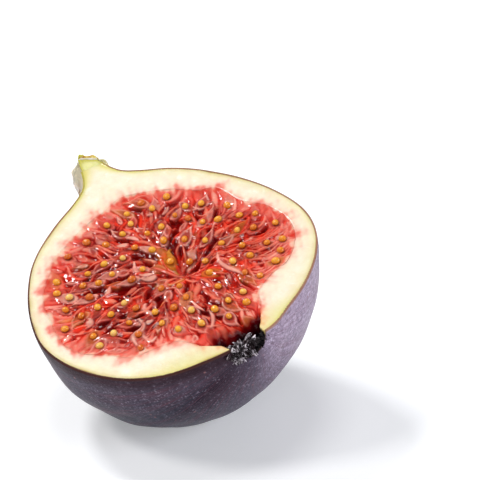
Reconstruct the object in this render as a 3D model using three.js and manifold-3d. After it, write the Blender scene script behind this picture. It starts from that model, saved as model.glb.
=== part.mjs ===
// Half of a fresh fig, cut lengthwise through its stalk and its eye, lying on its back with the cut face up.
// Units are millimetres and +Z is up. The origin is the middle of the small flat that the soft fruit
// rests on. The shape is worked out in the fig's own frame: "along" runs from the stalk to the eye, "across"
// to the right of the cut face, and "depth" down from the cut face into the fruit. place() carries it to the
// part's frame.
import * as THREE from "three";
import { mergeVertices } from "three/addons/utils/BufferGeometryUtils.js";
import Module from "manifold-3d";

const wasm = await Module();
wasm.setup();

// How the half lies: the middle of its cut face over the resting flat, and how its cut face leans.
const MIDDLE = new THREE.Vector3(-1.5, 2.1, 26.4);
const STALK_END_RAISED = THREE.MathUtils.degToRad(8);
const RIGHT_SIDE_RAISED = THREE.MathUtils.degToRad(16);
const EASED_OVER = 0.6; // height over which the underside eases into the resting flat

// The outline: [along, radius] from the neck's top to the eye.
const OUTLINE = [
  [-32.5, 2.1],
  [-30, 2.9],
  [-27.8, 4.2],
  [-25.6, 7.0],
  [-22.6, 11.7],
  [-18.4, 16.5],
  [-13, 20.6],
  [-6, 24.0],
  [1.5, 25.8],
  [8, 25.0],
  [14, 22.0],
  [19, 17.3],
  [22.4, 11.6],
  [24.2, 5.8],
  [24.7, 0.5],
];
const DEPTH_RATIO = 1.08; // depth of the half over half its width
// The neck leans to the right, less and less towards "to".
const NECK_LEAN = { across: 1.3, from: -27, to: -15 };
const EYE_END_SLANT = { slope: 0.055, from: 5, to: 24 }; // the eye's end stands further out on the left
// The ribs rise from radius "from" to their full height at radius "to".
const RIBS = { count: 8, height: 0.12, from: 4, to: 14 };
const BODY_STEPS = { along: 24, round: 32 };

const SKIN = 0.7; // thickness of the peel
const GAP = 0.3; // clearance between neighbouring tissues
const OPEN = 2; // how far a cutter reaches past the cut face

// The pulp: its edge on the cut face, as [across, along] clockwise from the neck, and its bowl.
const PULP_EDGE = [
  [2.5, -21.6],
  [9.5, -18.0],
  [15.5, -13.0],
  [19.3, -6.5],
  [22.3, 1.0],
  [21.6, 7.0],
  [17.0, 12.0],
  [10.8, 14.6],
  [3.0, 17.4],
  [-5.5, 17.2],
  [-13.8, 15.2],
  [-19.3, 11.0],
  [-22.6, 4.5],
  [-21.2, -5.5],
  [-16.3, -13.3],
  [-8.5, -18.3],
];
const PULP = { along: -1, depth: 22.6, sunk: 0.5, ringsTop: 6, ringsBowl: 6, steps: 45 };
const STRANDS = { count: 15, height: 0.35, swirl: 2.2, wave: 2, from: 3, to: 12 };
const HOLLOW = { across: 1.8, along: 1.2, length: 4.4, width: 2, depth: 2.4 };

// The florets: each a teardrop lying in the pulp's face, its broad end to the middle with a round seed in it.
const FLORETS = { count: 76, spacing: 3.3, margin: 3.3, length: 4.4, width: 2.3, height: 1.5, raised: 0.15 };
const FLORET_DRAW = { seed: 11, tries: 6000, turned: 0.9, size: 0.3 };
const SEED = { radius: 0.74, stands: 0.75 };

// The eye: the passage from the pulp to the outside, as [along, radius, across], and the dark scales round its
// mouth.
const PASSAGE = [
  [12, 7.4, 1.3],
  [17, 7.2, 1.3],
  [20, 5.9, 1.6],
  [22.6, 3.6, 2.3],
  [26, 3.0, 3.2],
];
const PASSAGE_STEPS = 10;
const PULP_ENDS = 4; // the pulp fills the passage as far as this many of its places
const EYE_SCALE = { length: 2.6, width: 1.9, thickness: 1, lean: 0.45 };
const EYE_SCALES = { count: 10, along: 24, across: 2.8, slope: 0.08, radius: 3.9, edge: 0.07, seed: 5 };

// The stalk: a stub on the neck's top, as [along, radius], with papery bracts that hang or stand round it.
// A bract's "from" and "to" are shares of the half turn from the cut's right edge to its left.
const STUB = [
  [-34.8, 1.6],
  [-33.8, 1.9],
  [-32.85, 2.25],
];
const BRACT = { thickness: 0.65, steps: 4, narrowing: 0.25, clear: 0.35, flare: 0.3, inside: 1.6 };
const HANGING_BRACTS = [
  { from: 0.58, to: 1, top: -34.6, tip: -27.9, bulge: 0.8 },
  { from: 0.06, to: 0.44, top: -34.2, tip: -31.2, bulge: 0.5 },
];
const STANDING_BRACTS = [
  { from: 0.36, to: 0.94, top: -36.7, tip: -33.15, curl: 0.2 },
  { from: 0.06, to: 0.42, top: -35.4, tip: -33.15, curl: 0.2 },
];

const { lerp, smoothstep } = THREE.MathUtils;

// The part's axes, seen from the fig's frame as (along, across, up out of the cut face).
const up = new THREE.Vector3(-Math.sin(STALK_END_RAISED), Math.sin(RIGHT_SIDE_RAISED), 0);
up.z = Math.sqrt(1 - up.lengthSq());
const back = new THREE.Vector3(-1, 0, 0).addScaledVector(up, up.x).normalize();
const right = new THREE.Vector3().crossVectors(back, up);

function place(along, across, depth) {
  const p = new THREE.Vector3(along, across, -depth);
  return new THREE.Vector3(p.dot(right), p.dot(back), p.dot(up)).add(MIDDLE);
}

// How far a point of the outside is pushed up where the soft underside has settled on the surface.
function settling(height) {
  const over = height + EASED_OVER / 2;
  if (over <= 0) return -height;
  if (over < EASED_OVER) return over ** 2 / (2 * EASED_OVER) - height;
  return 0;
}

// A seeded row of figures between 0 and 1.
function drawFrom(seed) {
  let state = seed;
  return () => (state = (state * 16807) % 2147483647) / 2147483647;
}

function solid(positions, triangles) {
  const [vertProperties, triVerts] = [new Float32Array(positions), new Uint32Array(triangles)];
  return new wasm.Manifold(new wasm.Mesh({ numProp: 3, vertProperties, triVerts }));
}

// A closed solid through loops of points, with a fan over each end.
function loft(loops) {
  const n = loops[0].length;
  const points = loops.flat();
  const faces = [];
  for (let k = 0; k + 1 < loops.length; k++)
    for (let i = 0; i < n; i++) {
      const [a, b] = [k * n + i, k * n + ((i + 1) % n)];
      faces.push(a, b + n, b, a, a + n, b + n);
    }
  for (const [first, isLast] of [[0, false], [(loops.length - 1) * n, true]]) {
    const middle = new THREE.Vector3();
    for (const p of points.slice(first, first + n)) middle.addScaledVector(p, 1 / n);
    const tip = points.push(middle) - 1;
    for (let i = 0; i < n; i++) {
      const [a, b] = [first + i, first + ((i + 1) % n)];
      faces.push(...(isLast ? [b, a, tip] : [a, b, tip]));
    }
  }
  return solid(points.flatMap((p) => p.toArray()), faces);
}

// A three.js geometry as a solid, each of its points moved by a function.
function shaped(geometry, move) {
  const bare = new THREE.BufferGeometry().setAttribute("position", geometry.getAttribute("position"));
  const merged = mergeVertices(bare);
  const from = merged.getAttribute("position");
  const positions = [];
  for (let i = 0; i < from.count; i++)
    positions.push(...move(new THREE.Vector3().fromBufferAttribute(from, i)));
  return solid(positions, merged.index.array);
}

const outlineCurve = new THREE.SplineCurve(OUTLINE.map((point) => new THREE.Vector2(...point)));

function neckLean(along) {
  return NECK_LEAN.across * (1 - smoothstep(along, NECK_LEAN.from, NECK_LEAN.to));
}

// A point of the fruit's outside, or inset below it. The angle is 0 at the cut's right edge and pi at its
// left.
function bodyPoint(share, angle, inset) {
  const point = outlineCurve.getPoint(share);
  const tangent = outlineCurve.getTangent(share);
  const along = point.x + tangent.y * inset;
  const plain = point.y - tangent.x * inset;
  const rib = RIBS.height * Math.cos(2 * RIBS.count * angle) * smoothstep(plain, RIBS.from, RIBS.to);
  const across = neckLean(along) + (plain + rib) * Math.cos(angle);
  const slant = EYE_END_SLANT.slope * across * smoothstep(along, EYE_END_SLANT.from, EYE_END_SLANT.to);
  return [along - slant, across, DEPTH_RATIO * (plain + rib) * Math.sin(angle)];
}

// The half fruit inset all round, with its flat side raised over the cut face by the overcut.
function halfFruit(inset, overcut) {
  const loops = [];
  for (let k = 0; k <= BODY_STEPS.along; k++) {
    const share = k / BODY_STEPS.along;
    const loop = [];
    for (let i = 0; i <= BODY_STEPS.round; i++) {
      const angle = (Math.PI * i) / BODY_STEPS.round;
      const point = place(...bodyPoint(share, angle, inset));
      point.z += settling(place(...bodyPoint(share, angle, 0)).z);
      loop.push(point);
    }
    if (overcut)
      for (const angle of [Math.PI, 0]) {
        const [along, across] = bodyPoint(share, angle, inset);
        loop.push(place(along, across, -overcut));
      }
    loops.push(loop);
  }
  return loft(loops);
}

const pulpCurve = new THREE.CatmullRomCurve3(
  PULP_EDGE.map(([across, along]) => new THREE.Vector3(along, across, 0)),
  true,
  "catmullrom",
);

// A point of the pulp's bowl: "down" is 0 at its edge and a quarter turn at its deepest point.
function bowlPoint(share, down, grown) {
  const edge = pulpCurve.getPoint(share);
  edge.x -= PULP.along;
  edge.setLength((edge.length() + grown) * Math.cos(down));
  return [PULP.along + edge.x, edge.y, (PULP.depth + grown) * Math.sin(down)];
}

// How far the pulp's face lies under the cut face, with the hollow in its middle.
function faceDepth(along, across) {
  const away = Math.hypot((along - HOLLOW.along) / HOLLOW.width, (across - HOLLOW.across) / HOLLOW.length);
  return PULP.sunk + HOLLOW.depth * Math.exp(-away * away);
}

// How far the strands rise and fall about that depth on their way to the middle.
function strandHeight(along, across) {
  const out = Math.hypot(along - HOLLOW.along, across - HOLLOW.across);
  const turn = Math.atan2(across - HOLLOW.across, along - HOLLOW.along);
  const swung = STRANDS.count * turn + STRANDS.swirl * Math.sin(out / STRANDS.wave);
  return STRANDS.height * Math.cos(swung) * smoothstep(out, STRANDS.from, STRANDS.to);
}

// A loop of points round the pulp, for a function of the share of its edge.
function loopRound(pointAt) {
  const loop = [];
  for (let i = PULP.steps; i > 0; i--) loop.push(place(...pointAt(i / PULP.steps)));
  return loop;
}

function bowlLoops(grown) {
  const loops = [];
  for (let k = 1; k < PULP.ringsBowl; k++) {
    const down = ((Math.PI / 2) * k) / PULP.ringsBowl;
    loops.push(loopRound((share) => bowlPoint(share, down, grown)));
  }
  return loops;
}

// The bowl of pulp with its face, whose first ring is close round the middle.
function pulpBody() {
  const firstRing = 0.04;
  const loops = [];
  for (let k = 0; k <= PULP.ringsTop; k++) {
    const out = lerp(firstRing, 1, k / PULP.ringsTop);
    loops.push(loopRound((share) => {
      const [edgeAlong, edgeAcross] = bowlPoint(share, 0, 0);
      const [along, across] = [lerp(HOLLOW.along, edgeAlong, out), lerp(HOLLOW.across, edgeAcross, out)];
      return [along, across, faceDepth(along, across) - strandHeight(along, across)];
    }));
  }
  return loft([...loops, ...bowlLoops(0)]);
}

// The room that the pulp lies in, open above the cut face.
function pulpRoom() {
  const rim = (above) => loopRound((share) => [...bowlPoint(share, 0, GAP).slice(0, 2), -above]);
  return loft([rim(OPEN), rim(0), ...bowlLoops(GAP)]);
}

// Half a passage through the given places, grown all round. It starts under the cut face by "sunk", or
// above it where that is less than 0.
function passage(places, grown, sunk) {
  const loops = [];
  const top = Math.max(sunk, 0);
  for (const [along, plain, across] of places) {
    const radius = plain + grown;
    const loop = [];
    for (let i = 0; i <= PASSAGE_STEPS; i++) {
      const angle = (Math.PI * i) / PASSAGE_STEPS;
      loop.push(place(along, across + radius * Math.cos(angle), top + (radius - top) * Math.sin(angle)));
    }
    if (sunk < 0) for (const side of [-1, 1]) loop.push(place(along, across + side * radius, sunk));
    loops.push(loop);
  }
  return loft(loops);
}

// Where the florets lie: drawn at random, kept apart and clear of the edge and the hollow.
function floretPlaces() {
  const draw = drawFrom(FLORET_DRAW.seed);
  const places = [];
  for (let tries = 0; places.length < FLORETS.count && tries < FLORET_DRAW.tries; tries++) {
    const edge = pulpCurve.getPoint(draw());
    const room = 1 - FLORETS.margin / Math.hypot(edge.x - HOLLOW.along, edge.y - HOLLOW.across);
    const out = room * Math.sqrt(draw());
    const [along, across] = [lerp(HOLLOW.along, edge.x, out), lerp(HOLLOW.across, edge.y, out)];
    const away = Math.hypot((along - HOLLOW.along) / HOLLOW.width, (across - HOLLOW.across) / HOLLOW.length);
    const apart = places.every((p) => Math.hypot(p.along - along, p.across - across) > FLORETS.spacing);
    if (apart && away > 1) {
      const inwards = Math.atan2(HOLLOW.across - across, HOLLOW.along - along);
      const towards = inwards + FLORET_DRAW.turned * (draw() - 0.5);
      places.push({ along, across, towards, scale: 1 + FLORET_DRAW.size * (draw() - 0.5) });
    }
  }
  return places;
}

// One floret with its seed: the teardrop is a ball stretched to the floret's size and tapered outwards.
function floret({ along, across, towards, scale }) {
  const [cos, sin] = [Math.cos(towards), Math.sin(towards)];
  const bed = faceDepth(along, across);
  const seedAt = 0.45; // where the seed lies on the way from the teardrop's middle to its broad end
  const drop = shaped(new THREE.OctahedronGeometry(1, 1), (p) => {
    const taper = 0.65 + 0.35 * p.x;
    const x = (p.x - seedAt) * (FLORETS.length / 2) * scale;
    const y = p.y * taper * (FLORETS.width / 2) * scale;
    const depth = bed - FLORETS.raised - p.z * taper * (FLORETS.height / 2);
    return place(along + x * cos - y * sin, across + x * sin + y * cos, depth);
  });
  const seed = shaped(new THREE.IcosahedronGeometry(SEED.radius * scale, 0), (p) =>
    place(along + p.x, across + p.y, bed - SEED.stands - p.z));
  return [drop, seed];
}

// One of the dark scales in the mouth of the eye, leaning over it.
function eyeScale(share, draw) {
  const angle = Math.PI * lerp(EYE_SCALES.edge, 1 - EYE_SCALES.edge, share);
  const [across, depth] = [EYE_SCALES.radius * Math.cos(angle), EYE_SCALES.radius * Math.sin(angle)];
  const along = EYE_SCALES.along - EYE_SCALES.slope * across + 0.2 * draw();
  const turn = new THREE.Euler(-angle, 0, EYE_SCALE.lean * (0.6 + 0.8 * draw()), "XYZ");
  return shaped(new THREE.OctahedronGeometry(1, 0), (p) => {
    p.multiply(new THREE.Vector3(EYE_SCALE.length / 2, EYE_SCALE.thickness / 2, EYE_SCALE.width / 2));
    p.applyEuler(turn);
    return place(along + p.x, EYE_SCALES.across + across + p.y, depth - p.z);
  });
}

// A closed arc of points across the stalk, from share to share of the half turn.
function arcPoints(along, radius, from, to, steps) {
  const points = [];
  for (let i = 0; i <= steps; i++) {
    const angle = Math.PI * lerp(from, to, i / steps);
    points.push(place(along, neckLean(along) + radius * Math.cos(angle), radius * Math.sin(angle)));
  }
  return points;
}

// A curved bract round the neck, narrower to its tip. Its inner radius is given at a share of its length.
function bract({ from, to, top, tip }, radiusAt) {
  const loops = [];
  for (let k = 0; k <= BRACT.steps; k++) {
    const t = k / BRACT.steps;
    const cutIn = BRACT.narrowing * (to - from) * t * t;
    const ends = [from + cutIn, to === 1 ? 1 : to - cutIn];
    const along = lerp(top, tip, t);
    const outer = arcPoints(along, radiusAt(t) + BRACT.thickness, ...ends, BRACT.steps);
    loops.push([...outer, ...arcPoints(along, radiusAt(t), ...ends, BRACT.steps).reverse()]);
  }
  return loft(loops);
}

// The neck's radius at a place along it, found on the outline.
function neckRadius(along) {
  let share = 0;
  while (outlineCurve.getPoint(share).x < along) share += 0.005;
  return outlineCurve.getPoint(share).y;
}

function stalk() {
  const stub = loft(STUB.map(([along, radius]) => arcPoints(along, radius, 0, 1, PASSAGE_STEPS)));
  const hanging = HANGING_BRACTS.map((shape) =>
    bract(shape, (t) => {
      const clear = neckRadius(lerp(shape.top, shape.tip, t)) + BRACT.clear + BRACT.flare * t;
      return lerp(BRACT.inside, clear + shape.bulge * Math.sin(Math.PI * t), smoothstep(t, 0, 0.25));
    }));
  const standing = STANDING_BRACTS.map((shape) =>
    bract(shape, (t) => STUB[0][1] - BRACT.thickness - shape.curl * (1 - t) ** 2));
  return wasm.Manifold.union([stub, ...hanging, ...standing]);
}

function skin() {
  const draw = drawFrom(EYE_SCALES.seed);
  const inside = halfFruit(SKIN, OPEN);
  const peel = halfFruit(0, 0).subtract(inside).subtract(passage(PASSAGE, GAP, -OPEN));
  const scales = [];
  for (let i = 0; i < EYE_SCALES.count; i++) scales.push(eyeScale(i / (EYE_SCALES.count - 1), draw));
  return wasm.Manifold.union([peel, ...scales.map((scale) => scale.subtract(inside))]);
}

function flesh() {
  return halfFruit(SKIN + GAP, 0).subtract(pulpRoom()).subtract(passage(PASSAGE, GAP, -OPEN));
}

function pulp() {
  const tongue = passage(PASSAGE.slice(0, PULP_ENDS), 0, PULP.sunk);
  return wasm.Manifold.union([pulpBody(), tongue, ...floretPlaces().flatMap(floret)]);
}

function mesh(name, made, color, roughness) {
  const { vertProperties, triVerts } = made.getMesh();
  const geometry = new THREE.BufferGeometry();
  geometry.setAttribute("position", new THREE.BufferAttribute(vertProperties, 3));
  geometry.setIndex(new THREE.BufferAttribute(triVerts, 1));
  geometry.computeVertexNormals();
  const result = new THREE.Mesh(geometry, new THREE.MeshStandardMaterial({ color, roughness, metalness: 0 }));
  result.name = name;
  return result;
}

const fig = new THREE.Group();
fig.add(mesh("skin", skin(), 0x3a2440, 0.5));
fig.add(mesh("flesh", flesh(), 0xf3ecc8, 0.45));
fig.add(mesh("pulp", pulp(), 0xc2373c, 0.3));
fig.add(mesh("stalk", stalk(), 0xa9a73f, 0.7));

export default fig;
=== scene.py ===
import math

import bmesh
import bpy
import numpy as np
from mathutils import Matrix, Vector


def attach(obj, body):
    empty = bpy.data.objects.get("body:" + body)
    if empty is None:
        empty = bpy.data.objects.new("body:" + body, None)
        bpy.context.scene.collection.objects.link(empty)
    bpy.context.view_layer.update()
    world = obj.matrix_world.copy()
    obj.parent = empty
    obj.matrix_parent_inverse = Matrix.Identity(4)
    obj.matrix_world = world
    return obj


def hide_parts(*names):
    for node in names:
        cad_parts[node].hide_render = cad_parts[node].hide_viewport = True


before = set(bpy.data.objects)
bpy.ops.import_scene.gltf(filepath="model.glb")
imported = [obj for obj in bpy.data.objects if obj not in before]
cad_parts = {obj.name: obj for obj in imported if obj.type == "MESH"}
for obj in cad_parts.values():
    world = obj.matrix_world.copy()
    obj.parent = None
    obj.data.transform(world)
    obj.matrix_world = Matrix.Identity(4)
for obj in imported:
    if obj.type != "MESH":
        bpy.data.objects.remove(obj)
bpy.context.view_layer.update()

MM = 0.001

# How the half lies and its outline, as in the part's source. Its ribs are lower and its skin thinner than there.
MIDDLE = np.array([-1.5, 2.1, 26.4])
STALK_END_RAISED = math.radians(8)
RIGHT_SIDE_RAISED = math.radians(16)
EASED_OVER = 0.6  # the height over which the underside eases into its flat

OUTLINE = np.array([
    (-32.5, 2.1), (-30, 2.9), (-27.8, 4.2), (-25.6, 7), (-22.6, 11.7), (-18.4, 16.5), (-13, 20.6), (-6, 24),
    (1.5, 25.8), (8, 25), (14, 22), (19, 17.3), (22.4, 11.6), (24.2, 5.8), (24.7, 0.5),
])
OUTLINE_START, OUTLINE_LENGTH = -32.5, 57.5
DEPTH_RATIO = 1.08
NECK_LEAN = (1.3, -27, -15)  # how far to the right, and where along it starts and ends to fade
EYE_END_SLANT = (0.055, 5, 24)  # how steeply the eye's end slants, and where along it sets in
RIBS = (8, 0.08, 4, 14)  # how many, how high, and the radii between which they rise
SKIN = 0.3  # thickness
EYE_ACROSS = 2.8
MOUTH = 3.4  # the radius of the opening at the eye

# The pulp's edge with its tongue to the eye, as (across, along), and its middle.
PULP_EDGE = np.array([
    (2.5, -21.6), (9.5, -18.2), (13.6, -14.6), (16.6, -12.6), (18.4, -7.0), (21.2, -3.4), (22.6, 2.4),
    (21.3, 7.4), (17.4, 11.6), (13.4, 12.8), (9.9, 15.2), (8.9, 17.9), (7.6, 20), (6.2, 22.4), (3, 23.9),
    (-0.2, 23.2), (-1.9, 21.9), (-4.4, 19.4), (-7.0, 16.8), (-11.8, 15.8), (-14.8, 15.2), (-17.8, 12.2), (-21.4, 8.6),
    (-22.8, 4.4), (-22.2, -0.6), (-21.0, -6.4), (-18.6, -10.6), (-16.4, -12.8), (-14.6, -15.4), (-8.8, -18.3),
    (-5.8, -19.6), (-1.6, -20.6),
])
HOLLOW = np.array([1.8, 1.2])  # across, along
PULP_MIDDLE = -1.0  # along
PULP_DEPTH = 22.6

# How many of each lie on the pulp's face, and how finely that is divided.
ROOTED_STRANDS, LOOSE_STRANDS, SWEEPING_STRANDS, THIN_STRANDS = 120, 200, 16, 120
SEEDED_FLORETS, PLAIN_FLORETS = 86, 70
FACE_SQUARES = 288
TRIES = 12000  # for places that are kept apart
# The eye's scales, of which some lie in a heap.
SCALES, HEAPED_SCALES = 270, 200

rng = np.random.default_rng(20)


# The frame of the fig, and the maps from it.

up = np.array([-math.sin(STALK_END_RAISED), math.sin(RIGHT_SIDE_RAISED), 0.0])
up[2] = math.sqrt(1 - up @ up)
back = np.array([-1.0, 0, 0]) + up * up[0]
back /= np.linalg.norm(back)
right = np.cross(back, up)
TO_ROW = np.stack([right, back, up])


def place(points):
    """Points (along, across, depth) of the fig in the row's frame, still in millimetres."""
    return (np.asarray(points, float) * (1, 1, -1)) @ TO_ROW.T + MIDDLE


def settling(height):
    over = height + EASED_OVER / 2
    eased = over ** 2 / (2 * EASED_OVER) - height
    return np.where(over <= 0, -height, np.where(over < EASED_OVER, eased, 0))


def smoothstep(x, low, high):
    t = np.clip((x - low) / (high - low), 0, 1)
    return t * t * (3 - 2 * t)


def arch(t):
    """0 at both ends of 0 to 1, and 1 in the middle."""
    return np.sin(math.pi * t)


def catmull(points, t, closed=False):
    """Points on the Catmull-Rom curve through the given ones, at shares t of its way."""
    n = len(points)
    at = np.clip(t, 0, 1) * (n if closed else n - 1)
    k = np.floor(at).astype(int)
    if closed:
        index = [(k + j) % n for j in (-1, 0, 1, 2)]
    else:
        k = np.minimum(k, n - 2)
        index = [np.clip(k + j, 0, n - 1) for j in (-1, 0, 1, 2)]
    w = (at - k)[..., None]
    p0, p1, p2, p3 = (points[i] for i in index)
    v0, v1 = (p2 - p0) / 2, (p3 - p1) / 2
    return (2 * p1 - 2 * p2 + v0 + v1) * w ** 3 + (-3 * p1 + 3 * p2 - 2 * v0 - v1) * w ** 2 + v0 * w + p1


class Waves:
    """A smooth seeded field: a sum of waves in random directions, about one high."""

    def __init__(self, length, count=9, dims=3):
        self.k = rng.normal(size=(count, dims)) * (2 * math.pi / length) / math.sqrt(dims)
        self.phase = rng.uniform(0, 2 * math.pi, count)

    def __call__(self, p):
        return np.sin(np.asarray(p) @ self.k.T + self.phase).sum(-1) / math.sqrt(len(self.phase))


def neck_radius(along):
    shares = np.linspace(0, 0.4, 400)
    curve = catmull(OUTLINE, shares)
    return np.interp(along, curve[:, 0], curve[:, 1])


def neck_lean(along):
    return NECK_LEAN[0] * (1 - smoothstep(along, NECK_LEAN[1], NECK_LEAN[2]))


def body_point(share, angle, inset):
    """A point of the fruit's outside or below it: share from neck to eye, angle from right to left."""
    share, angle = np.broadcast_arrays(share, angle)
    step = 1e-4
    ahead = catmull(OUTLINE, np.minimum(share + step, 1))
    behind = catmull(OUTLINE, np.maximum(share - step, 0))
    tangent = (ahead - behind) / np.linalg.norm(ahead - behind, axis=-1, keepdims=True)
    point = catmull(OUTLINE, share)
    along = point[..., 0] + tangent[..., 1] * inset
    plain = point[..., 1] - tangent[..., 0] * inset
    rib = RIBS[1] * np.cos(2 * RIBS[0] * angle) * smoothstep(plain, RIBS[2], RIBS[3])
    lean = neck_lean(along) + EYE_ACROSS * (1 - smoothstep(plain, MOUTH, 13)) * (along > 0)
    across = lean + (plain + rib) * np.cos(angle)
    slant = EYE_END_SLANT[0] * across * smoothstep(along, EYE_END_SLANT[1], EYE_END_SLANT[2])
    return np.stack([along - slant, across, DEPTH_RATIO * (plain + rib) * np.sin(angle)], -1)


def placed_body(share, angle, inset, raised=0):
    """body_point in the row's frame, with the underside settled on the surface."""
    points = place(body_point(share, angle, inset - raised))
    points[..., 2] += settling(place(body_point(share, angle, 0))[..., 2])
    return points


def share_of_radius(radius):
    """Where the outline narrows to a radius at its eye end."""
    shares = np.linspace(0.6, 1, 400)
    return float(np.interp(-radius, -catmull(OUTLINE, shares)[:, 1], shares))


# Meshes.

def strip(rows, columns, start=0, closed=False):
    """Quads between rows of points that follow each other."""
    r, c = np.meshgrid(np.arange(rows - 1), np.arange(columns if closed else columns - 1), indexing="ij")
    a = start + r * columns + c
    b = start + r * columns + (c + 1) % columns
    return np.stack([a, b, b + columns, a + columns], -1).reshape(-1, 4)


def slab(rows, columns, start=0):
    """Faces of a sheet's two sides, whose points are two grids one after the other, and of its edges."""
    n = rows * columns
    grid = np.arange(n).reshape(rows, columns) + start
    faces = [strip(rows, columns, start), strip(rows, columns, start + n)[:, ::-1]]
    for edge in (grid[0], grid[-1], grid[:, 0], grid[:, -1]):
        faces.append(np.stack([edge[:-1], edge[1:], edge[1:] + n, edge[:-1] + n], -1))
    return faces


def build(name, points, faces, material, node=None, attributes=None, smooth=True):
    """An object of points in the row's frame in millimetres. Faces are arrays of quads or triangles."""
    mesh = bpy.data.meshes.new(name)
    mesh.from_pydata((np.asarray(points) * MM).tolist(), [], [f for part in faces for f in part.tolist()])
    for key, values in (attributes or {}).items():
        mesh.attributes.new(key, "FLOAT", "POINT").data.foreach_set("value", np.asarray(values, np.float32))
    work = bmesh.new()
    work.from_mesh(mesh)
    bmesh.ops.remove_doubles(work, verts=work.verts, dist=1e-7)
    bmesh.ops.dissolve_degenerate(work, edges=work.edges, dist=1e-8)
    bmesh.ops.recalc_face_normals(work, faces=work.faces)
    work.to_mesh(mesh)
    work.free()
    mesh.polygons.foreach_set("use_smooth", [smooth] * len(mesh.polygons))
    mesh.materials.append(material)
    obj = bpy.data.objects.new(name, mesh)
    bpy.context.scene.collection.objects.link(obj)
    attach(obj, "root")
    if node:
        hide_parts(*([node] if isinstance(node, str) else node))
    return obj


# Materials.

class Nodes:
    """A short hand for a material's nodes."""

    def __init__(self, name):
        self.material = bpy.data.materials.new(name)
        self.material.use_nodes = True
        self.tree = self.material.node_tree
        self.tree.nodes.clear()
        self.shader = self.tree.nodes.new("ShaderNodeBsdfPrincipled")
        output = self.tree.nodes.new("ShaderNodeOutputMaterial")
        self.tree.links.new(self.shader.outputs[0], output.inputs["Surface"])
        self.place = self.node("ShaderNodeTexCoord").outputs["Object"]

    def node(self, kind, **settings):
        made = self.tree.nodes.new(kind)
        for key, value in settings.items():
            setattr(made, key, value)
        return made

    def link(self, value, socket):
        if isinstance(value, bpy.types.NodeSocket):
            self.tree.links.new(value, socket)
        elif isinstance(value, tuple) and len(value) == 3 and socket.type == "RGBA":
            socket.default_value = (*value, 1)
        else:
            socket.default_value = value

    def attributes(self, names):
        nodes = [self.node("ShaderNodeAttribute", attribute_name=name) for name in names.split()]
        return [node.outputs["Fac"] for node in nodes]

    def math(self, operation, a, b, clamp=False):
        made = self.node("ShaderNodeMath", operation=operation, use_clamp=clamp)
        self.link(a, made.inputs[0])
        self.link(b, made.inputs[1])
        return made.outputs[0]

    def times(self, *factors):
        product = factors[0]
        for factor in factors[1:]:
            product = self.math("MULTIPLY", product, factor)
        return product

    def plus(self, a, b):
        return self.math("ADD", a, b)

    def minus(self, a, b, clamp=False):
        return self.math("SUBTRACT", a, b, clamp)

    def vector(self, operation, a, b=None, scale=None):
        made = self.node("ShaderNodeVectorMath", operation=operation)
        self.link(a, made.inputs[0])
        if b is not None:
            self.link(b, made.inputs[1])
        if scale:
            self.link(scale, made.inputs["Scale"])
        return made.outputs[0]

    def ramp(self, value, *stops):
        """The colour or number at a value, from stops of (value, colour or number)."""
        made = self.node("ShaderNodeValToRGB")
        elements = made.color_ramp.elements
        while len(elements) < len(stops):
            elements.new(0.5)
        for element, (at, color) in zip(elements, stops):
            element.position = at
            element.color = (*color, 1) if isinstance(color, tuple) else (color, color, color, 1)
        self.link(value, made.inputs[0])
        return made.outputs[0]

    def rise(self, value, low, high, start=0, end=1):
        """A number that goes evenly from start to end as the value goes from low to high."""
        return self.ramp(value, (low, start), (high, end))

    def mix(self, share, a, b, blend="MIX"):
        made = self.node("ShaderNodeMix", data_type="RGBA", blend_type=blend)
        self.link(share, made.inputs[0])
        self.link(a, made.inputs[6])
        self.link(b, made.inputs[7])
        return made.outputs[2]

    def noise(self, scale, detail=3.0, at=None, roughness=0.5):
        made = self.node("ShaderNodeTexNoise")
        self.link(at or self.place, made.inputs["Vector"])
        for key, value in (("Scale", scale), ("Detail", detail), ("Roughness", roughness)):
            self.link(value, made.inputs[key])
        return made.outputs[0]

    def dots(self, scale):
        """Distance to the nearest of scattered points."""
        made = self.node("ShaderNodeTexVoronoi")
        self.link(self.place, made.inputs["Vector"])
        self.link(scale, made.inputs["Scale"])
        return made.outputs["Distance"]

    def combine(self, x, y, z):
        made = self.node("ShaderNodeCombineXYZ")
        for value, socket in zip((x, y, z), made.inputs):
            self.link(value, socket)
        return made.outputs[0]

    def bump(self, height, strength, distance, socket="Normal", over=None):
        made = self.node("ShaderNodeBump")
        for key, value in (("Height", height), ("Strength", strength), ("Distance", distance)):
            self.link(value, made.inputs[key])
        if over:
            self.link(over, made.inputs["Normal"])
        self.link(made.outputs[0], self.shader.inputs[socket])

    def set(self, **values):
        for key, value in values.items():
            self.link(value, self.shader.inputs[key.replace("_", " ")])
        return self.material


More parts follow.
